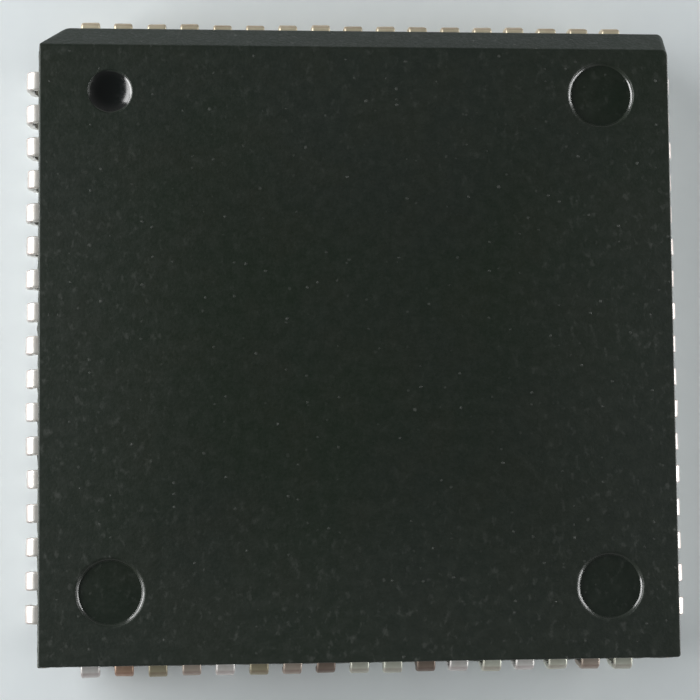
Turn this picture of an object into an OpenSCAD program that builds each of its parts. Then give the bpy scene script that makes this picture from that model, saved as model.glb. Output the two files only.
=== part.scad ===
// Plastic leaded chip carrier: a moulded square package with J-leads on all four sides.
// The origin is the middle of the lead footprint, on the plane that the leads stand on.
// +Z points out of the top face, +Y is the side with the long bevel, and the cut index
// corner is at -X +Y. Lengths are in millimetres and angles in degrees.

/* [Leads] */
// Number of leads on each side
leads_per_side = 17; // [5:1:21]
// Distance from the middle of one lead to the next
lead_pitch = 1.27; // [1.1:0.01:1.5]
// Thickness of the sheet that the lead frame is stamped from
sheet_t = 0.25; // [0.2:0.01:0.32]
// Width of a lead at its shoulder
shoulder_w = 0.71; // [0.55:0.01:0.85]
// Width of a lead below its taper
leg_w = 0.43; // [0.33:0.01:0.53]
// Height of the upper side of the shoulder above the seating plane
shoulder_h = 2.67; // [2.4:0.01:3]
// Straight run of the shoulder outside the body, before it bends down
shoulder_run = 0.06; // [0.04:0.01:0.2]
// Inner radius of the bend at the shoulder
shoulder_bend_r = 0.15; // [0.1:0.01:0.2]
// Distance from the shoulder down to where the leg starts to narrow
taper_below = 0.7; // [0.55:0.01:0.9]
// Height of the tapered length of the leg
taper_len = 0.35; // [0.2:0.01:0.5]
// Outer radius of the J bend
hook_r = 1.02; // [0.9:0.01:1.1]
// How far the J curls past its lowest point
hook_curl = 75; // [60:1:85]

/* [Body] */
// Distance from the middle of the last lead of a side to the side round the corner
corner_margin = 1.955; // [1.7:0.005:2.4]
// Height of the top face above the seating plane
seated_h = 4.37; // [4.1:0.01:4.8]
// Height of the underside above the seating plane
standoff = 0.7; // [0.55:0.01:0.8]
// Slope of the moulded sides away from the parting line
draft = 4.5; // [2:0.5:8]
// Radius of the three plain corners
corner_r = 0.25; // [0.2:0.05:0.8]
// Length of the index cut along X
index_cut_x = 1; // [0.6:0.05:1.3]
// Length of the index cut along Y
index_cut_y = 0.76; // [0.4:0.01:1.3]
// Width of the bevel along the +Y side, on the top face
bevel_w = 0.8; // [0.5:0.01:1]
// Depth of the bevel below the top face
bevel_drop = 1.05; // [0.7:0.01:1.2]
// Room around a lead's tip in its pocket in the underside
tip_room = 0.06; // [0.05:0.01:0.15]

/* [Mould marks] */
// Distance from the side of the body to the middle of a mark
mark_inset = 2.765; // [2.3:0.005:3.5]
// How far all the marks are set off towards the side with the bevel
mark_shift = 0.06; // [0:0.01:0.2]
// Diameter of the index dimple at the top face
dimple_d = 1.65; // [1.2:0.05:2]
// Depth of the index dimple
dimple_depth = 0.31; // [0.2:0.01:0.5]
// Diameter of an ejector pin mark
ejector_d = 2.48; // [1.8:0.02:3]
// Depth of an ejector pin mark
ejector_depth = 0.1; // [0.05:0.01:0.2]

/* [Inside] */
// Side of the silicon die
die_w = 6.6; // [5:0.1:8]
// Thickness of the silicon die
die_t = 0.38; // [0.3:0.01:0.5]
// Thickness of the adhesive under the die
attach_t = 0.03; // [0.02:0.01:0.06]
// Width of the paddle that shows around the die
paddle_margin = 0.4; // [0.2:0.05:0.8]
// Gap from the paddle to the tips of the leads
paddle_gap = 0.4; // [0.25:0.05:0.8]
// Gap between neighbouring lead tips, and from the last tip to a tie bar
finger_gap = 0.2; // [0.15:0.01:0.22]
// Length of the parallel tip of a lead
tip_len = 0.8; // [0.5:0.05:1.2]
// Length of a lead inside the body before it turns towards the die
root_len = 0.9; // [0.5:0.05:1.2]
// Width of the bars that tie the paddle to the corners
tie_w = 0.4; // [0.3:0.05:0.6]
// Diameter of a bond wire
wire_d = 0.033; // [0.025:0.001:0.05]
// Height of a bond wire's loop
loop_h = 0.3; // [0.2:0.01:0.5]
// Distance from the edge of the die to a bond pad, and from a lead's tip to its bond
bond_inset = 0.2; // [0.15:0.01:0.3]
// Distance from the corner of the die to the last bond pad of a side
pad_corner = 0.4; // [0.3:0.05:0.8]

/* [Hidden] */

$fn = 32;
// Length by which a cut runs past the face that it opens
cut_over = 0.5;

// The four sides, as turns about +Z from the +Y side
back = 0;
right = -90;
front = 180;
left = 90;
sides = [back, right, front, left];
leads = [0 : leads_per_side - 1];

// Outline of the body at its parting line, which is the middle of the lead sheet
body_half = (leads_per_side - 1) * lead_pitch / 2 + corner_margin;
parting_z = shoulder_h - sheet_t / 2;
top_half = body_half - (seated_h - parting_z) * tan(draft);
mark_at = body_half - mark_inset;

// A lead's outside, as distances from the middle of the package
bend_r = body_half + shoulder_run;
bend_outer_r = shoulder_bend_r + sheet_t;
lead_half = bend_r + bend_outer_r;
foot_r = lead_half - hook_r;
taper_top = shoulder_h - taper_below;
taper_foot = taper_top - taper_len;

// The stack under the bond wires: the die's upper side is level with the leads
bond_z = shoulder_h;
die_z = bond_z - die_t;
attach_z = die_z - attach_t;
paddle_z = attach_z - sheet_t;
paddle_half = die_w / 2 + paddle_margin;

// The lead tips fill the side of a square around the paddle, between two tie bars
tip_r = paddle_half + paddle_gap;
tip_row = 2 * (tip_r - (tie_w / 2 + finger_gap) * sqrt(2));
tip_w = (tip_row + finger_gap) / leads_per_side - finger_gap;
root_r = body_half - root_len;

// Place of number i of a row of this length, along its side
function along(i, row) = row * (i / (leads_per_side - 1) - 1 / 2);
function lead_x(i) = along(i, (leads_per_side - 1) * lead_pitch);
function tip_x(i) = along(i, tip_row - tip_w);
function pad_x(i) = along(i, die_w - 2 * pad_corner);

// Outline of the body from above: three round corners and the index cut
module body_outline() {
    difference() {
        offset(r = corner_r) square(2 * (body_half - corner_r), center = true);
        polygon([
            [-body_half, body_half - index_cut_y],
            [-body_half + index_cut_x, body_half],
            [-body_half + index_cut_x, body_half + cut_over],
            [-body_half - cut_over, body_half + cut_over],
            [-body_half - cut_over, body_half - index_cut_y]
        ]);
    }
}

// One half of the moulding, which narrows away from the parting line
module body_shell(height) {
    narrowing = 1 - height * tan(draft) / body_half;
    linear_extrude(height = height, scale = narrowing) body_outline();
}

// The wedge that the long bevel takes off the +Y side of the top
module bevel_cut() {
    run = bevel_w + bevel_drop * tan(draft);
    slope = run / bevel_drop;
    inner = [top_half - bevel_w - cut_over * slope, seated_h + cut_over];
    outer = [top_half - bevel_w + run + cut_over * slope, seated_h - bevel_drop - cut_over];
    rotate([90, 0, 90])
        linear_extrude(height = 2 * (body_half + cut_over), center = true)
            polygon([inner, outer, [outer.x, inner.y]]);
}

// The bowl beside the index corner
module dimple_cut() {
    bowl_r = (dimple_d * dimple_d / 4 + dimple_depth * dimple_depth) / (2 * dimple_depth);
    translate([-mark_at, mark_at + mark_shift, seated_h - dimple_depth + bowl_r]) sphere(r = bowl_r);
}

// The flat round marks that the ejector pins leave in the other three corners
module ejector_cuts() {
    for (place = [[1, 1], [1, -1], [-1, -1]])
        translate([mark_at * place.x, mark_at * place.y + mark_shift, seated_h - ejector_depth])
            cylinder(d = ejector_d, h = ejector_depth + cut_over);
}

// The pocket in the underside that a lead's tip curls up into, on the +Y side
module pocket_cut(i) {
    inner_r = hook_r - sheet_t;
    crossing = sqrt(max(0, inner_r * inner_r - pow(hook_r - standoff, 2)));
    inner_y = foot_r - hook_r - tip_room;
    outer_y = foot_r - crossing + tip_room;
    tip_top = hook_r - inner_r * cos(hook_curl) + tip_room;
    width = leg_w + 2 * tip_room;
    translate([lead_x(i) - width / 2, inner_y, 0]) cube([width, outer_y - inner_y, tip_top]);
}

// A stretch of a bent strip of sheet, from one angle to another, around the origin
module strip_bend(outer_r, from_angle, to_angle) {
    steps = 3;
    far = 2 * outer_r;
    angles = [for (k = [0 : steps]) from_angle + (to_angle - from_angle) * k / steps];
    intersection() {
        difference() {
            circle(r = outer_r);
            circle(r = outer_r - sheet_t);
        }
        polygon(concat([[0, 0]], [for (a = angles) far * [cos(a), sin(a)]]));
    }
}

// Side view of a lead's outside: shoulder, bend, leg and J
module lead_profile() {
    bend_z = shoulder_h - bend_outer_r;
    translate([root_r, shoulder_h - sheet_t]) square([bend_r - root_r, sheet_t]);
    translate([bend_r, bend_z]) strip_bend(bend_outer_r, 0, 90);
    translate([lead_half - sheet_t, hook_r]) square([sheet_t, bend_z - hook_r]);
    translate([foot_r, hook_r]) strip_bend(hook_r, -90 - hook_curl, 0);
}

// Front view of a lead: a wide shoulder that narrows to the leg
module lead_front() {
    shoulder = shoulder_w / 2;
    leg = leg_w / 2;
    polygon([
        [-shoulder, shoulder_h + cut_over], [shoulder, shoulder_h + cut_over],
        [shoulder, taper_top], [leg, taper_foot], [leg, -cut_over],
        [-leg, -cut_over], [-leg, taper_foot], [-shoulder, taper_top]
    ]);
}

// The flat part of lead i on the +Y side, which turns in towards the die
module lead_finger(i) {
    root = shoulder_w / 2;
    tip = tip_w / 2;
    translate([0, 0, shoulder_h - sheet_t]) linear_extrude(height = sheet_t) polygon([
        [lead_x(i) - root, bend_r], [lead_x(i) + root, bend_r],
        [lead_x(i) + root, root_r], [tip_x(i) + tip, tip_r + tip_len],
        [tip_x(i) + tip, tip_r], [tip_x(i) - tip, tip_r],
        [tip_x(i) - tip, tip_r + tip_len], [lead_x(i) - root, root_r]
    ]);
}

// Lead i on the +Y side, in one piece from its J to its tip beside the die
module lead(i) {
    lead_finger(i);
    translate([lead_x(i), 0, 0]) intersection() {
        rotate([90, 0, 90])
            linear_extrude(height = shoulder_w, center = true) lead_profile();
        rotate([-90, 0, 0]) mirror([0, 1, 0])
            linear_extrude(height = lead_half + cut_over) lead_front();
    }
}

// The bars from the paddle's corners up to the level of the leads and out past the body's corners
module tie_bars() {
    paddle_corner = norm([paddle_half, paddle_half]);
    start = paddle_corner - tie_w;
    rise = shoulder_h - sheet_t - paddle_z;
    foot = paddle_corner + tie_w / 2;
    head = foot + rise;
    end = norm([body_half, body_half]) + cut_over;
    for (side = sides) rotate([90, 0, side + 45])
        linear_extrude(height = tie_w, center = true) polygon([
            [start, paddle_z], [foot, paddle_z], [head, paddle_z + rise], [end, paddle_z + rise],
            [end, shoulder_h], [head, shoulder_h], [foot, paddle_z + sheet_t], [start, paddle_z + sheet_t]
        ]);
}

// A square plate on the middle of the package
module plate(half, z, height) {
    translate([-half, -half, z]) cube([2 * half, 2 * half, height]);
}

// The loop of wire from the die to the tip of lead i, on the +Y side. Its ends are cut off
// level with the die and the lead, or as far below that level as sink says
module bond_wire(i, sink = 0) {
    pad = [pad_x(i), die_w / 2 - bond_inset];
    tip = [tip_x(i), tip_r + bond_inset];
    run = tip - pad;
    span = norm(run);
    loop_r = (span * span / 4 + loop_h * loop_h) / (2 * loop_h);
    middle = (pad + tip) / 2;
    translate([middle.x, middle.y, bond_z]) rotate(atan2(run.y, run.x)) intersection() {
        translate([0, 0, loop_h - loop_r]) rotate([90, 0, 0])
            rotate_extrude() translate([loop_r, 0]) circle(d = wire_d);
        translate([-span, -wire_d, -sink]) cube([2 * span, 2 * wire_d, 2 * loop_h + sink]);
    }
}

module moulded_body() {
    color("#262a28") difference() {
        translate([0, 0, parting_z]) {
            body_shell(seated_h - parting_z);
            mirror([0, 0, 1]) body_shell(parting_z - standoff);
        }
        bevel_cut();
        dimple_cut();
        ejector_cuts();
        for (side = sides, i = leads) rotate(side) {
            pocket_cut(i);
            lead_finger(i);
            bond_wire(i, sink = wire_d);
        }
        plate(paddle_half, paddle_z, sheet_t);
        tie_bars();
        plate(die_w / 2, paddle_z, bond_z - paddle_z);
    }
}

module lead_row(side) {
    color("#c8c3ba") rotate(side) for (i = leads) lead(i);
}

// The tie bars are sheared off flush with the corners of the body
module die_paddle() {
    color("#b98a63") {
        plate(paddle_half, paddle_z, sheet_t);
        intersection() {
            tie_bars();
            translate([0, 0, paddle_z]) linear_extrude(height = shoulder_h - paddle_z) body_outline();
        }
    }
}

module die_attach() {
    color("#b9bcc0") plate(die_w / 2, attach_z, attach_t);
}

module silicon_die() {
    color("#6a7078") plate(die_w / 2, die_z, die_t);
}

module wire_row(side) {
    color("#e0b84c") rotate(side) for (i = leads) bond_wire(i);
}

moulded_body();
lead_row(back);  // leads_back
lead_row(right);  // leads_right
lead_row(front);  // leads_front
lead_row(left);  // leads_left
die_paddle();
die_attach();
silicon_die();
wire_row(back);  // bond_wires_back
wire_row(right);  // bond_wires_right
wire_row(front);  // bond_wires_front
wire_row(left);  // bond_wires_left
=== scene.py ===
# A plastic leaded chip carrier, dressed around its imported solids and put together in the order
# of the real one: paddle, die, wires, moulding, then the leads that are trimmed and bent last.
# Meshes are worked out in millimetres and scaled once, since the frame is in metres.
import math
import random

import bmesh
import bpy
from mathutils import Matrix, Vector, noise


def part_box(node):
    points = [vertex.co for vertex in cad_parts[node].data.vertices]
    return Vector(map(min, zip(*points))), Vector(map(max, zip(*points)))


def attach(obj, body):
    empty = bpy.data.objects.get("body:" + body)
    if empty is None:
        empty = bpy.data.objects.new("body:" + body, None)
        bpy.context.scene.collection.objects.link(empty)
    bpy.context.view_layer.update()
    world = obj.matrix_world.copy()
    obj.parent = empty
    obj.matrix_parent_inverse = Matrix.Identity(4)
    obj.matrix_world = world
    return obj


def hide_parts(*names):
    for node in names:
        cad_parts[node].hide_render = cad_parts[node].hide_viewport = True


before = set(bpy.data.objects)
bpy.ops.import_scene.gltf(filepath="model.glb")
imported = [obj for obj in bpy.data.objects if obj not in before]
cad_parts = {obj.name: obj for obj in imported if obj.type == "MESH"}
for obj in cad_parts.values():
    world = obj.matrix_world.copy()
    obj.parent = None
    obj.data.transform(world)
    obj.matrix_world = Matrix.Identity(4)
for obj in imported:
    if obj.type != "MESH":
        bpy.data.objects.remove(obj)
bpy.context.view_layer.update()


# Die paddle: the square in the middle of the lead frame that carries the die, with its four
# tie bars. It is stamped from rolled copper alloy strip, pressed down and spot-plated.

MM = 0.001


class Socket:
    """One output of a shader node. Sums on it add Math nodes to the same finish."""

    def __init__(self, finish, output):
        self.finish = finish
        self.output = output

    def maths(self, operation, *others):
        return self.finish.node("Math", {"operation": operation}, dict(enumerate((self, *others))))

    def __add__(self, other):
        return self.maths("ADD", other)

    def __sub__(self, other):
        return self.maths("SUBTRACT", other)

    def __rsub__(self, other):
        return self.maths("MULTIPLY_ADD", -1, other)

    def __mul__(self, other):
        return self.maths("MULTIPLY", other)

    def __abs__(self):
        return self.maths("ABSOLUTE")

    __radd__ = __add__
    __rmul__ = __mul__


class Finish:
    """The nodes that feed one shader, of a material or of the surroundings."""

    def __init__(self, owner, shader="Principled BSDF"):
        self.owner = owner
        owner.use_nodes = True
        self.shader = owner.node_tree.nodes[shader]

    def feed(self, node, values):
        for key, value in values.items():
            socket = node.inputs[key]
            if isinstance(value, Socket):
                self.owner.node_tree.links.new(value.output, socket)
            elif socket.type == "RGBA":
                socket.default_value = (*value, 1)
            else:
                socket.default_value = value

    def node(self, kind, settings, values, output=0):
        made = self.owner.node_tree.nodes.new("ShaderNode" + kind)
        for key, value in settings.items():
            setattr(made, key, value)
        self.feed(made, values)
        return Socket(self, made.outputs[output])

    def place(self):
        return self.node("TexCoord", {}, {}, "Object")

    def along(self, axis, vector):
        return self.node("SeparateXYZ", {}, {0: vector}, axis)

    def layer(self, name, output):
        """A value that the mesh carries at its points."""
        return self.node("Attribute", {"attribute_name": name}, {}, output)

    def stretched(self, place, scale):
        return self.node("Mapping", {}, {"Vector": place, "Scale": scale})

    def grain(self, place, scale, detail):
        return self.node("TexNoise", {}, {"Vector": place, "Scale": scale, "Detail": detail})

    def rise(self, value, low, high):
        """0 below low and 1 above high, or the other way round where high is the smaller."""
        return self.node("MapRange", {"interpolation_type": "SMOOTHSTEP"},
                         {"Value": value, "From Min": low, "From Max": high})

    def mix(self, amount, first, second, blend="MIX"):
        """Mixes two colours, which the node takes at its sockets 6 and 7 and gives at its output 2."""
        return self.node("Mix", {"data_type": "RGBA", "blend_type": blend},
                         {0: amount, 6: first, 7: second}, 2)

    def bump(self, height, depth):
        return self.node("Bump", {}, {"Height": height, "Distance": depth})


def finish(name):
    return Finish(bpy.data.materials.new(name))


def dress_solid(node, look):
    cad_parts[node].material_slots[0].material = look.owner


copper = finish("copper_alloy_strip")
spot = copper.place()
rolling = copper.grain(copper.stretched(spot, (1, 14, 1)), 1500, 3)
tarnish = copper.grain(spot, 300, 4)
copper.feed(copper.shader, {
    "Base Color": copper.mix(copper.rise(tarnish, 0.35, 0.7), (0.71, 0.42, 0.27), (0.56, 0.35, 0.22)),
    "Metallic": 1,
    "Roughness": 0.28 + rolling * 0.16,
    "Normal": copper.bump(rolling, 0.002 * MM),
})
dress_solid("die_paddle", copper)


# Die attach: a thin bed of epoxy that holds flakes of silver, spread on the paddle under the
# die and cured there.

adhesive = finish("silver_filled_adhesive")
spot = adhesive.place()
flakes = adhesive.node("TexVoronoi", {}, {"Vector": spot, "Scale": 40000}, "Color")
sparkle = adhesive.grain(spot, 26000, 2)
adhesive.feed(adhesive.shader, {
    "Base Color": adhesive.mix(flakes, (0.38, 0.38, 0.39), (0.68, 0.68, 0.66)),
    "Metallic": adhesive.rise(sparkle, 0.4, 0.6),
    "Roughness": 0.35 + sparkle * 0.3,
    "Normal": adhesive.bump(sparkle, 0.004 * MM),
})
dress_solid("die_attach", adhesive)


# Silicon die: a square sawn from a polished wafer, with the circuit in blocks on its upper side
# under a clear coat of glass, which gives it its tints.

silicon = finish("silicon_with_circuit")
spot = silicon.place()
block_tint = silicon.node("TexVoronoi", {"distance": "CHEBYCHEV"},
                          {"Vector": spot, "Scale": 1100, "Randomness": 0.55}, "Color")
tracks = silicon.node("TexBrick", {}, {
    "Vector": spot, "Scale": 9000, "Color1": (0.1, 0.12, 0.15), "Color2": (0.2, 0.21, 0.25),
    "Mortar": (0.42, 0.42, 0.4), "Mortar Size": 0.05})
facing = silicon.node("NewGeometry", {}, {}, "Normal")
upper = silicon.rise(silicon.along("Z", facing), 0.5, 0.9)
circuit = silicon.mix(0.35, tracks, block_tint)
silicon.feed(silicon.shader, {
    "Base Color": silicon.mix(upper, (0.14, 0.15, 0.17), circuit),
    "Metallic": 0.35,
    "Roughness": 0.32 - upper * 0.17,
    "Coat Weight": upper,
})
dress_solid("silicon_die", silicon)


# Bond wires: fine drawn gold wire in loops, one from each pad on the die to the tip of its lead,
# welded on at both ends and then held by the moulding.

# How far each row of wires and leads is turned from the back one, in degrees
row_turns = {"back": 0, "right": -90, "front": 180, "left": 90}

gold = finish("gold_wire")
drawn = gold.grain(gold.place(), 30000, 2)
gold.feed(gold.shader, {
    "Base Color": gold.mix(drawn, (0.92, 0.64, 0.2), (1.0, 0.76, 0.33)),
    "Metallic": 1,
    "Roughness": 0.16 + drawn * 0.12,
})
for side in row_turns:
    dress_solid("bond_wires_" + side, gold)


# Moulded body: black epoxy filled with silica, squeezed into a two-part mould around the lead
# frame. The mould leaves the drafted sides, a thin flash at the parting line, the bevel, the
# index cut and dimple, three ejector marks, a fine matt grain, and the pockets underneath.

body_low, body_high = (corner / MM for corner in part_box("moulded_body"))
row_low, row_high = (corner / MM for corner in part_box("leads_back"))
body_half = body_high.x
top_z = body_high.z
under_z = body_low.z
sheet = 0.25
parting_z = row_high.z - sheet / 2
draft = math.radians(4.5)
lean = math.tan(draft)
top_half = body_half - (top_z - parting_z) * lean
under_half = body_half - (parting_z - under_z) * lean
edge_r = 0.04
edge_steps = 4
edge_polish = 0.25
corner_r = 0.25
front_corner_r = 0.12
round_steps = 6
side_steps = 120
index_cut = (1.0, 0.76)
cut_middle = Vector((index_cut[0] / 2 - body_half, body_half - index_cut[1] / 2))
cut_head_r = 0.6
cut_foot_r = 0.12
cut_least = 0.05
cut_steps = 6
bevel_w = 0.8
bevel_drop = 1.05
bevel_edge_r = 0.15
bevel_slope = (bevel_w + bevel_drop * lean) / bevel_drop
bevel_z = top_z - bevel_drop
flat_margin = 0.05


def eased(reach, slope, radius, level, z):
    """Reach of a face that leans in by slope towards an edge at level, rounded at that edge."""
    lie = math.hypot(1, slope)
    centre = reach - radius * (lie - slope)
    down = abs(level - z)
    if down > radius * (1 - slope / lie):
        return reach + down * slope
    return centre + math.sqrt(max(0, radius ** 2 - (radius - down) ** 2))


def side_half(z):
    if z < parting_z:
        return eased(under_half, lean, edge_r, under_z, z)
    return eased(top_half, lean, edge_r, top_z, z)


def back_half(z):
    bevel = eased(top_half - bevel_w, bevel_slope, bevel_edge_r, top_z, z)
    return min(side_half(z), bevel) if z > parting_z else side_half(z)


def round_corner(before, corner, after, radius):
    """Points of the arc that rounds a corner of an anticlockwise outline."""
    into = (corner - before).normalized()
    out = (after - corner).normalized()
    turn = math.acos(max(-1, min(1, into.dot(out))))
    start = corner - into * radius * math.tan(turn / 2)
    centre = start + Vector((-into.y, into.x)) * radius
    spoke = start - centre
    return [centre + Matrix.Rotation(turn * k / round_steps, 2) @ spoke for k in range(round_steps + 1)]


def outline(z):
    """Plan of the body at one height, with as many points at every height."""
    half = side_half(z)
    back = back_half(z)
    rise = index_cut[1] / index_cut[0]
    foot = min((body_half - index_cut[1]) * half / body_half, back - cut_least * rise)
    head = (back - foot) / rise - half
    cut_length = math.hypot(head + half, back - foot)
    places = ((-half, -half), (half, -half), (half, back), (head, back), (-half, foot))
    radii = (front_corner_r, front_corner_r, corner_r,
             min(cut_head_r, cut_length), min(cut_foot_r, cut_length))
    steps_after = (side_steps, side_steps, side_steps, cut_steps, side_steps)
    corners = [Vector(place) for place in places]
    after = corners[1:] + corners[:1]
    arcs = [round_corner(corners[k - 1], corners[k], after[k], radii[k]) for k in range(len(corners))]
    plan = []
    for arc, next_arc, steps in zip(arcs, arcs[1:] + arcs[:1], steps_after):
        plan += arc + [arc[-1].lerp(next_arc[0], step / steps) for step in range(1, steps)]
    return plan


# The flash: its thickness, its greatest reach and the shares of that which it has at least, as a rule
# and at its root, then what it adds at corners, its waves to a millimetre, and the room for a tie bar
flash_t = 0.03
flash_max = 0.06
flash_least = 0.12
flash_usual = 0.3
flash_root = 0.55
corner_flash = 0.05
long_waves = 2.3
short_waves = 7.1
bar_room = 0.35
bar_relief = 0.006


def flash(point):
    """How far the ragged flash stands out of the parting line: most at the round corners, and a
    little less than nothing where the end of a tie bar shows in the index cut."""
    if (point - cut_middle).length < bar_room:
        return -bar_relief
    spot = point.to_3d()
    waves = 0.8 * noise.noise(spot * long_waves) + 0.5 * noise.noise(spot * short_waves)
    into_corner = (min(abs(point.x), abs(point.y)) - body_half) / front_corner_r + 1
    return flash_max * max(flash_least, min(1, flash_usual + waves)) + corner_flash * max(0, into_corner)


def new_ring(mesh, points):
    return [mesh.verts.new(p) for p in points]


def bridge(mesh, lower, upper):
    for k in range(len(lower)):
        mesh.faces.new((lower[k - 1], lower[k], upper[k], upper[k - 1]))


def fill_between(mesh, loops):
    edges = [mesh.edges.get((loop[k - 1], loop[k])) for loop in loops for k in range(len(loop))]
    bmesh.ops.triangle_fill(mesh, edges=edges, use_beauty=True)


def make_piece(name, mesh, look, node):
    bmesh.ops.recalc_face_normals(mesh, faces=mesh.faces)
    bmesh.ops.scale(mesh, vec=(MM, MM, MM), verts=mesh.verts)
    data = bpy.data.meshes.new(name)
    mesh.to_mesh(data)
    mesh.free()
    data.polygons.foreach_set("use_smooth", [True] * len(data.polygons))
    data.set_sharp_from_angle(angle=math.radians(40))
    data.materials.append(look.owner)
    piece = bpy.data.objects.new(name, data)
    bpy.context.scene.collection.objects.link(piece)
    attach(piece, "root")
    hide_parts(node)


# The mesh carries how polished the mould was at each point, and where thin resin bled out of it
body = bmesh.new()
polish = body.verts.layers.float.new("polish")
bleed = body.verts.layers.float.new("bleed")

turns = [draft + (math.pi / 2 - draft) * k / edge_steps for k in range(edge_steps + 1)]
edge_drops = [edge_r * (1 - math.sin(turn)) for turn in turns]
beside_edge = edge_drops[0] + flat_margin
beside_bevel = edge_r / 2 + flat_margin
levels = [under_z + drop for drop in reversed(edge_drops)]
levels += [under_z + beside_edge, parting_z - 2 * flash_t, parting_z - flash_t / 2, parting_z,
           parting_z + flash_t / 2, parting_z + 2 * flash_t, bevel_z - beside_bevel, bevel_z - edge_r / 2,
           bevel_z + edge_r / 2, bevel_z + beside_bevel, (bevel_z + top_z) / 2, top_z - beside_edge]
levels += [top_z - drop for drop in edge_drops]
rubbed = levels[-edge_steps:-1]
rings = []
for z in levels:
    plan = outline(z)
    on_flash = abs(z - parting_z) < flash_t
    if on_flash:
        share = 1 if z == parting_z else flash_root
        plan = [p + p.normalized() * flash(p) * share for p in plan]
    ring = new_ring(body, [(p.x, p.y, z) for p in plan])
    for vert in ring:
        vert[polish] = edge_polish if z in rubbed else 0
        vert[bleed] = 1 if on_flash else 0
    rings.append(ring)
for lower, upper in zip(rings, rings[1:]):
    bridge(body, lower, upper)


def flat_rim(edge):
    """A second loop inside the edge of a flat face, which keeps the face's shading flat."""
    share = 1 - flat_margin / top_half
    rim = new_ring(body, [(v.co.x * share, v.co.y * share, v.co.z) for v in edge])
    bridge(body, edge, rim)
    return rim


under_rim, top_rim = flat_rim(rings[0]), flat_rim(rings[-1])

# The marks in the top, each a profile of (reach, depth, polish) from the rim to the middle
mark_inset = 2.765
mark_at = body_half - mark_inset
mark_shift = 0.06
mark_points = 96
rim_waves = 3.1
gloss_waves = 1.7
lip_steps = 7
dimple_r = 1.65 / 2
dimple_depth = 0.31
dimple_lip = 0.12
dimple_lip_shine = 0.95
dimple_wave = 0.006
bowl_steps = 14
ejector_r = 2.48 / 2
ejector_depth = 0.1
ejector_lip = 0.2
ejector_spread = 0.095
ejector_wave = 0.012
wall_shine = 0.8
pan_shine = 0.4
pan_foot_rise = 0.01
pan_foot_run = 0.03


def lip_rings(rim, radius, slope, shine):
    """A rounded lip from level at the rim to the given slope, more polished the more it slopes."""
    lip = []
    for k in range(lip_steps + 1):
        turn = slope * k / lip_steps
        gloss = shine * min(1, 3 * turn ** 2 / slope)
        lip.append((rim - radius * math.sin(turn), radius * (1 - math.cos(turn)), gloss))
    return lip


def sink_mark(centre, profile, wave, seed):
    """Sweeps a profile round a centre, a little unevenly, and gives the loop that joins the top."""
    chain = []
    for reach, depth, shine in [(profile[0][0] + flat_margin, 0, 0)] + profile:
        points = []
        for k in range(mark_points):
            turn = math.tau * k / mark_points
            away = Vector((math.cos(turn), math.sin(turn)))
            ragged = wave * noise.noise(Vector((away.x * rim_waves, away.y * rim_waves, seed)))
            spot = centre + away * (reach + ragged)
            lift = ragged / 4 if depth else 0
            points.append((spot.x, spot.y, top_z - depth + lift))
        ring = new_ring(body, points)
        for vert in ring:
            patchy = noise.noise(vert.co * gloss_waves + Vector((0, 0, seed)))
            vert[polish] = shine if shine == 1 else shine * (0.9 + 0.45 * min(0.2, patchy))
        chain.append(ring)
    for outer, inner in zip(chain, chain[1:]):
        bridge(body, outer, inner)
    body.faces.new(chain[-1])
    return chain[0]


bowl_r = (dimple_r ** 2 + dimple_depth ** 2) / (2 * dimple_depth)
bowl_up = bowl_r - dimple_depth
dimple_rim = math.sqrt((bowl_r + dimple_lip) ** 2 - (bowl_up + dimple_lip) ** 2)
bowl_turn = math.asin(dimple_rim / (bowl_r + dimple_lip))
dimple = lip_rings(dimple_rim, dimple_lip, bowl_turn, dimple_lip_shine)
for k in range(1, bowl_steps):
    turn = bowl_turn * (1 - k / bowl_steps)
    dimple.append((bowl_r * math.sin(turn), bowl_r * math.cos(turn) - bowl_up, 1))

pan_turn = math.acos(1 - (ejector_depth - pan_foot_rise) / ejector_lip)
pan = lip_rings(ejector_r + ejector_spread, ejector_lip, pan_turn, wall_shine)
wall_r = pan[-1][0]
pan_r = wall_r - pan_foot_run
pan.append((wall_r - pan_foot_run / 3, ejector_depth - pan_foot_rise / 5, wall_shine))
for reach in (pan_r, pan_r - flat_margin, wall_r * 0.6, wall_r * 0.2):
    pan.append((reach, ejector_depth, pan_shine))

# Where each mark is, its profile, how uneven it is, and the seed of its unevenness
marks = (
    (-1, 1, dimple, dimple_wave, 0.5),
    (1, 1, pan, ejector_wave, 7.3),
    (1, -1, pan, ejector_wave, 14.6),
    (-1, -1, pan, ejector_wave, 21.9),
)
holes = []
for x, y, profile, wave, seed in marks:
    holes.append(sink_mark(Vector((x * mark_at, y * mark_at + mark_shift)), profile, wave, seed))
fill_between(body, [top_rim] + holes)

# The pockets that the tips of the leads curl up into
leads_per_side = 17
pitch = 1.27
leg_w = 0.43
hook_r = 1.02
lead_half = row_high.y
foot_r = lead_half - hook_r
tip_room = 0.06
pocket_top = 0.88
pocket_lip = 0.03
pocket_inner = foot_r - hook_r - tip_room
pocket_outer = foot_r - math.sqrt((hook_r - sheet) ** 2 - (hook_r - under_z) ** 2) + tip_room


def lead_x(i):
    return (i - (leads_per_side - 1) / 2) * pitch


def turned(side, point):
    return Matrix.Rotation(math.radians(row_turns[side]), 4, "Z") @ Vector(point)


def pocket(side, i):
    def rim(inset, z):
        reach = leg_w / 2 + tip_room - inset
        left, right = lead_x(i) - reach, lead_x(i) + reach
        near, far = pocket_inner + inset, pocket_outer - inset
        corners = ((left, near), (right, near), (right, far), (left, far))
        return new_ring(body, [turned(side, (x, y, z)) for x, y in corners])
    mouth = rim(0, under_z)
    throat = rim(pocket_lip, under_z + pocket_lip)
    roof = rim(pocket_lip, pocket_top)
    bridge(body, mouth, throat)
    bridge(body, throat, roof)
    body.faces.new(roof)
    return mouth


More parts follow.
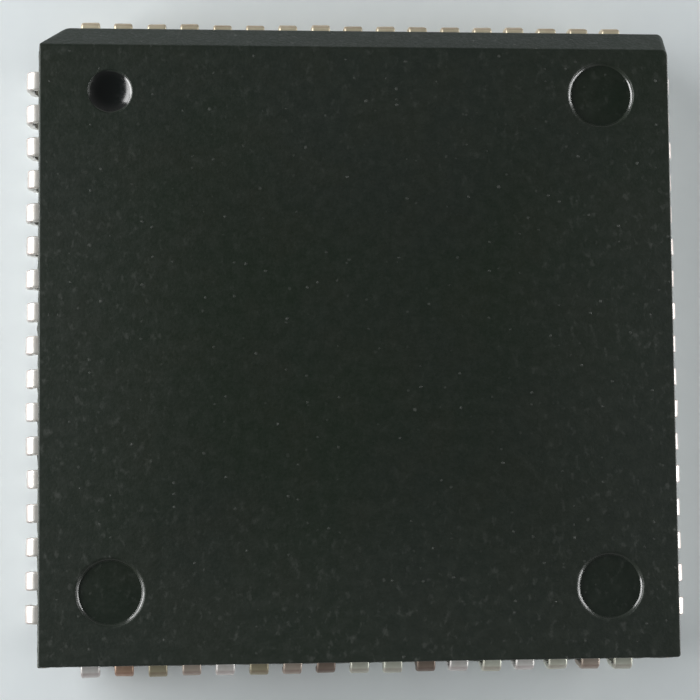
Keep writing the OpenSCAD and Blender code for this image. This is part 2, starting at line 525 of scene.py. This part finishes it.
mouths = [pocket(side, i) for side in row_turns for i in range(leads_per_side)]
fill_between(body, [under_rim] + mouths)

compound = finish("moulding_compound")
spot = compound.place()
shine = compound.layer("polish", "Fac")
thin_resin = compound.layer("bleed", "Fac")
cloud = compound.rise(compound.grain(spot, 130, 3), 0.36, 0.66)
haze = compound.rise(compound.grain(spot, 520, 3), 0.4, 0.7)
mottle = compound.grain(spot, 2300, 4)
grit = compound.grain(spot, 8000, 3)
jitter = compound.node("TexNoise", {}, {"Vector": spot, "Scale": 9000}, "Color")
wander = compound.node("VectorMath", {"operation": "MULTIPLY_ADD"},
                       {0: jitter, 1: (0.1 * MM, 0.1 * MM, 0.1 * MM), 2: spot})


def specks(cells, radius, least):
    """Grains of filler at the surface: one to a cell, and only in the cells that chance picks."""
    values = {"Vector": wander, "Scale": cells}
    away = compound.node("TexVoronoi", {}, values, "Distance")
    colour = compound.node("TexVoronoi", {}, values, "Color")
    pick = compound.node("SeparateColor", {}, {0: colour}, "Red")
    return compound.rise(away, radius, radius * 0.4) * compound.rise(pick, least, 1)


fine_specks = specks(2600, 0.17, 0.6)
bold_specks = specks(900, 0.085, 0.35)
smudges = compound.rise(compound.grain(compound.stretched(wander, (1, 0.65, 1)), 4000, 3), 0.56, 0.8)

# Painted sheen: the top is made lighter towards its edges, though less at the back, and its mottling and
# smudges grow there
along_x = compound.along("X", spot)
along_y = compound.along("Y", spot)
from_middle = abs(along_x).maths("MAXIMUM", abs(along_y))
off_back = 1 - compound.rise(along_y, 2 * MM, 12 * MM) * 0.6
edge_sheen = compound.rise(from_middle, 4 * MM, 12 * MM) * (1 - shine) * off_back

# Resin in clouds, then haze, mottling, painted sheen towards the edges and dust over it, then painted
# shade in the polished bowl, and the flash
dust = (fine_specks * 0.42 + bold_specks * 0.5) * (1 - shine) + smudges * (0.06 + edge_sheen * 0.28)
mottled = compound.rise(mottle, 0.4, 0.75) * (0.3 + edge_sheen * 0.45)
bled = thin_resin * compound.rise(mottle, 0.3, 0.65) * 0.5
tone = compound.mix(cloud, (0.0030, 0.0098, 0.0027), (0.0050, 0.0104, 0.0058))
tone = compound.mix(haze * 0.4, tone, (0.0080, 0.0120, 0.0042))
tone = compound.mix(mottled, tone, (0.0125, 0.0190, 0.0120))
# Painted sheen: the top's colour is lightened towards its edges
tone = compound.mix(edge_sheen * 0.28, tone, (0.0290, 0.0350, 0.0300))
tone = compound.mix(dust, tone, (0.115, 0.122, 0.112))
# Painted shade: the colour is darkened where the polish is highest, most in the bowl of the dimple and a
# little on the lips of the marks
tone = compound.mix(compound.rise(shine, 0.7, 0.95) * 0.9, tone, (0.0012, 0.0020, 0.0022))
tone = compound.mix(bled, tone, (0.30, 0.30, 0.25))
matt_relief = (grit + mottle + fine_specks) * (1 - compound.rise(shine, 0, 0.6))
compound.feed(compound.shader, {
    "Base Color": tone,
    "Roughness": 0.52 + (grit - 0.5) * 0.3 + (mottle - 0.5) * 0.2 - shine * 0.34,
    "Specular IOR Level": 0.45,
    "Coat Weight": compound.rise(shine, 0.4, 0.75) * compound.rise(shine, 1, 0.8) * 0.8,
    "Coat Roughness": 0.18,
    "Normal": compound.bump(matt_relief, 0.013 * MM),
})
make_piece("moulded_package", body, compound, "moulded_body")


# Leads: 17 strips to a side, stamped from the same sheet as the paddle and plated with tin. Each
# runs from its tip beside the die through the moulding, and is bent down and curled under last.

shoulder_w = 0.71
taper_below = 0.7
taper_len = 0.35
taper_top = row_high.z - taper_below
taper_foot = taper_top - taper_len
bend_outer = 0.40
bend_y = lead_half - bend_outer
bend_z = row_high.z - bend_outer
bend_steps = 8
hook_curl = 75
hook_steps = 16
tip_y = row_low.y
tip_len = 0.8
tip_w = 0.228
tip_row = 7.069
root_len = 0.9
root_y = body_half - root_len
exit_len = 0.1
exit_y = body_half - exit_len
rolled_edge = 0.08
burr_edge = 0.03
sheet_margin = 0.02
round_points = 4
# Painted shade on the bends: full between these two slopes and less and less below them
bend_shade_from = math.radians(60)
bend_shade_to = math.radians(40)
# A lead is free to spring from this station on, just past the middle of its bend
free_from = 9
sway_play = 0.018
reach_play = 1.6 * sway_play
yaw_play = 0.03
shade_range = (0.9, 1.04)
# How far each row springs out at its first lead and at its last, clockwise as seen from above
row_reach = {
    "back": (-0.085, -0.085),
    "right": (-0.07, 0.03),
    "front": (-0.045, -0.045),
    "left": (0.01, 0.01),
}
# Tints of the plating, each a colour and how metallic it looks, and the tints along each row. The side
# rows take the bright, most metallic tint and the back and front rows duller, darker ones: painted light
# and shade, lit and shaded copies of one plating. Along the front the tint changes from lead to lead,
# partly tarnish and partly painted shade.
tints = {
    "bright": (0.88, 0.86, 0.82, 0.92),
    "pale": (0.86, 0.84, 0.82, 0.40),
    "grey": (0.74, 0.76, 0.66, 0.40),
    "tan": (0.78, 0.70, 0.52, 0.65),
    "olive": (0.42, 0.38, 0.26, 0.35),
    "rose": (0.50, 0.43, 0.37, 0.40),
    "brown": (0.28, 0.22, 0.18, 0.35),
    "copper": (0.49, 0.33, 0.24, 0.40),
}
# Painted light and shade: the bright tint on the lit side rows, darker tints on the back and front rows
row_lit_and_shaded_tints = {
    "back": ["tan"] * leads_per_side,
    "right": ["bright"] * leads_per_side,
    "front": ["grey", "rose", "grey", "pale", "grey", "pale", "brown", "grey", "grey",
              "brown", "rose", "olive", "pale", "rose", "olive", "copper", "pale"],
    "left": ["bright"] * leads_per_side,
}


def rounded_section(width):
    """Section of the sheet at this width, as (across, up) points, with rounder edges on its upper side."""
    points = []
    quarters = ((1, 1, rolled_edge), (-1, 1, rolled_edge), (-1, -1, burr_edge), (1, -1, burr_edge))
    for quarter, (x, n, radius) in enumerate(quarters):
        turns = [math.pi / 2 * (quarter + k / (round_points - 1)) for k in range(round_points)]
        arc = [(x * (width / 2 - radius) + radius * math.cos(turn),
                n * (sheet / 2 - radius) + radius * math.sin(turn)) for turn in turns]
        flat = [(x * (width / 2 - radius - sheet_margin), n * sheet / 2)]
        points += arc + flat if quarter % 2 == 0 else flat + arc
    return points


def leg_width(z):
    part = min(1, max(0, (z - taper_foot) / (taper_top - taper_foot)))
    return leg_w + (shoulder_w - leg_w) * part


def lead_stations(i):
    """Middle of the sheet from tip to J: x, y, z, the way its upper side faces, and its width."""
    tip_x = (i / (leads_per_side - 1) - 0.5) * (tip_row - tip_w)
    root_x = lead_x(i)
    middle_z = row_high.z - sheet / 2
    flat = math.pi / 2
    stations = [
        (tip_x, tip_y, middle_z, flat, tip_w),
        (tip_x, tip_y + tip_len, middle_z, flat, tip_w),
        (root_x, root_y, middle_z, flat, shoulder_w),
        (root_x, exit_y, middle_z, flat, shoulder_w),
    ]
    bend_r = bend_outer - sheet / 2
    for k in range(bend_steps + 1):
        face = flat * (1 - k / bend_steps)
        y, z = bend_y + bend_r * math.cos(face), bend_z + bend_r * math.sin(face)
        stations.append((root_x, y, z, face, shoulder_w))
    for z in (taper_top, (taper_top + taper_foot) / 2, taper_foot):
        stations.append((root_x, lead_half - sheet / 2, z, 0, leg_width(z)))
    curl_r = hook_r - sheet / 2
    for k in range(hook_steps + 1):
        face = -math.radians(90 + hook_curl) * k / hook_steps
        y, z = foot_r + curl_r * math.cos(face), hook_r + curl_r * math.sin(face)
        stations.append((root_x, y, z, face, leg_w))
    return stations


tin = finish("tin_plated_leads")
spot = tin.place()
tint = tin.layer("tint", "Color")
gleam = tin.layer("tint", "Alpha")
bare = tin.layer("bare", "Fac")
# The mesh's 'stretched' value carries the painted shade on the bends
stretched = tin.layer("stretched", "Fac")
plate_cloud = tin.grain(spot, 1800, 4)
wipe = tin.grain(tin.stretched(spot, (3, 3, 0.6)), 3500, 3)
clouded = tin.rise(plate_cloud, 0.3, 0.75) * 0.6
plating = tin.mix(clouded, tint, (0.74, 0.70, 0.66), "MULTIPLY")
# Painted shade on the bends: where the mesh's 'stretched' value is set, the plating is darkened and turned
# a little pink
plating = tin.mix(stretched * 0.75, plating, (0.62, 0.55, 0.56), "MULTIPLY")
tin.feed(tin.shader, {
    "Base Color": tin.mix(bare, plating, (0.62, 0.36, 0.23)),
    "Metallic": gleam,
    "Roughness": 0.31 + plate_cloud * 0.18 + wipe * 0.12,
    "Normal": tin.bump(wipe + plate_cloud * 0.5, 0.004 * MM),
})

chance = random.Random(68)
for side in row_turns:
    row = bmesh.new()
    tint_layer = row.verts.layers.float_color.new("tint")
    bare_layer = row.verts.layers.float.new("bare")
    bend_shade_layer = row.verts.layers.float.new("stretched")
    first_reach, last_reach = row_reach[side]
    for i in range(leads_per_side):
        part = i / (leads_per_side - 1)
        sway = chance.uniform(-sway_play, sway_play)
        reach = first_reach + (last_reach - first_reach) * part + chance.uniform(-reach_play, reach_play)
        yaw = chance.uniform(-yaw_play, yaw_play)
        shade = chance.uniform(*shade_range)
        *colour, metal = tints[row_lit_and_shaded_tints[side][i]]
        plated = (*[shade * value for value in colour], metal)
        stations = lead_stations(i)
        cut_end = len(stations) - 1
        chain = []
        for number, (x, y, z, face, width) in enumerate(stations):
            out = 1
            if number < free_from:
                out = min(1, max(0, (y - body_half) / (lead_half - body_half)))
            points = []
            for across, up in rounded_section(width):
                away = up * math.cos(face) + out * (reach + across * yaw)
                points.append(turned(side, (x + across + out * sway, y + away, z + up * math.sin(face))))
            ring = new_ring(row, points)
            for vert in ring:
                vert[tint_layer] = plated
                vert[bare_layer] = 1 if number == cut_end else 0
                # The painted shade on the bend, kept in the mesh's 'stretched' value
                vert[bend_shade_layer] = min(1, face / bend_shade_to) if 0 < face < bend_shade_from else 0
            chain.append(ring)
        for inner, outer in zip(chain, chain[1:]):
            bridge(row, inner, outer)
        row.faces.new(chain[0])
        row.faces.new(chain[-1])
    make_piece("bent_leads_" + side, row, tin, "leads_" + side)


# Stage: a plain sheet of pale paper under the package, so wide that its edges lie far out of the
# photograph's frame.

floor_half = 3000 * MM
floor_mesh = bpy.data.meshes.new("floor")
floor_mesh.from_pydata([(-floor_half, -floor_half, 0), (floor_half, -floor_half, 0),
                        (floor_half, floor_half, 0), (-floor_half, floor_half, 0)], [], [(0, 1, 2, 3)])
floor = bpy.data.objects.new("floor", floor_mesh)
bpy.context.scene.collection.objects.link(floor)
paper = finish("pale_paper")
fibres = paper.grain(paper.place(), 900, 3)
paper.feed(paper.shader, {
    "Base Color": paper.mix(fibres, (0.79, 0.84, 0.86), (0.83, 0.88, 0.9)),
    "Roughness": 0.85,
    "Specular IOR Level": 0.2,
})
floor_mesh.materials.append(paper.owner)


# Light: a long soft strip on the left, a low one on the right, and dim neutral surroundings that
# are lighter towards the horizon, so that the side leads and the rims of the marks shine and the
# front and back leads stay darker.

def strip_light(name, turn, distance, height, length, breadth, glow):
    lamp = bpy.data.lights.new(name, "AREA")
    lamp.shape = "RECTANGLE"
    lamp.size = length * MM
    lamp.size_y = breadth * MM
    lamp.energy = glow * math.pi * lamp.size * lamp.size_y
    holder = bpy.data.objects.new(name, lamp)
    across = Matrix.Rotation(math.radians(turn), 4, "Z") @ Vector((distance, 0, 0))
    holder.location = (across + Vector((0, 0, height))) * MM
    holder.rotation_euler = (-holder.location).to_track_quat("-Z", "Y").to_euler()
    holder.visible_camera = False
    bpy.context.scene.collection.objects.link(holder)


strip_light("left_strip", turn=170, distance=110, height=40, length=150, breadth=37, glow=13)
strip_light("right_strip", turn=0, distance=85, height=10.5, length=90, breadth=19, glow=17)
studio = Finish(bpy.data.worlds.new("studio"), "Background")
bpy.context.scene.world = studio.owner
height = studio.along("Z", studio.node("TexCoord", {}, {}, "Generated"))
studio.feed(studio.shader, {
    "Color": studio.mix(studio.rise(height, 0, 0.8), (0.38, 0.375, 0.37), (0.17, 0.18, 0.18)),
    "Strength": 1,
})


# Camera: nearly overhead, a little to the left and front of the middle, as in the photograph. Its
# place is in millimetres like the meshes, and its tilt in degrees.

camera_place = Vector((-6.833, -6.292, 78.935)) * MM
camera_tilt = (4.5787, -4.8832, -0.561)
lens = bpy.data.cameras.new("camera")
lens.lens = 102.91
lens.sensor_width = 36
lens.clip_start = 1 * MM
lens.clip_end = 20
camera = bpy.data.objects.new("camera", lens)
camera.location = camera_place
camera.rotation_euler = [math.radians(angle) for angle in camera_tilt]
bpy.context.scene.collection.objects.link(camera)
bpy.context.scene.camera = camera
bpy.context.scene.view_settings.view_transform = "Standard"
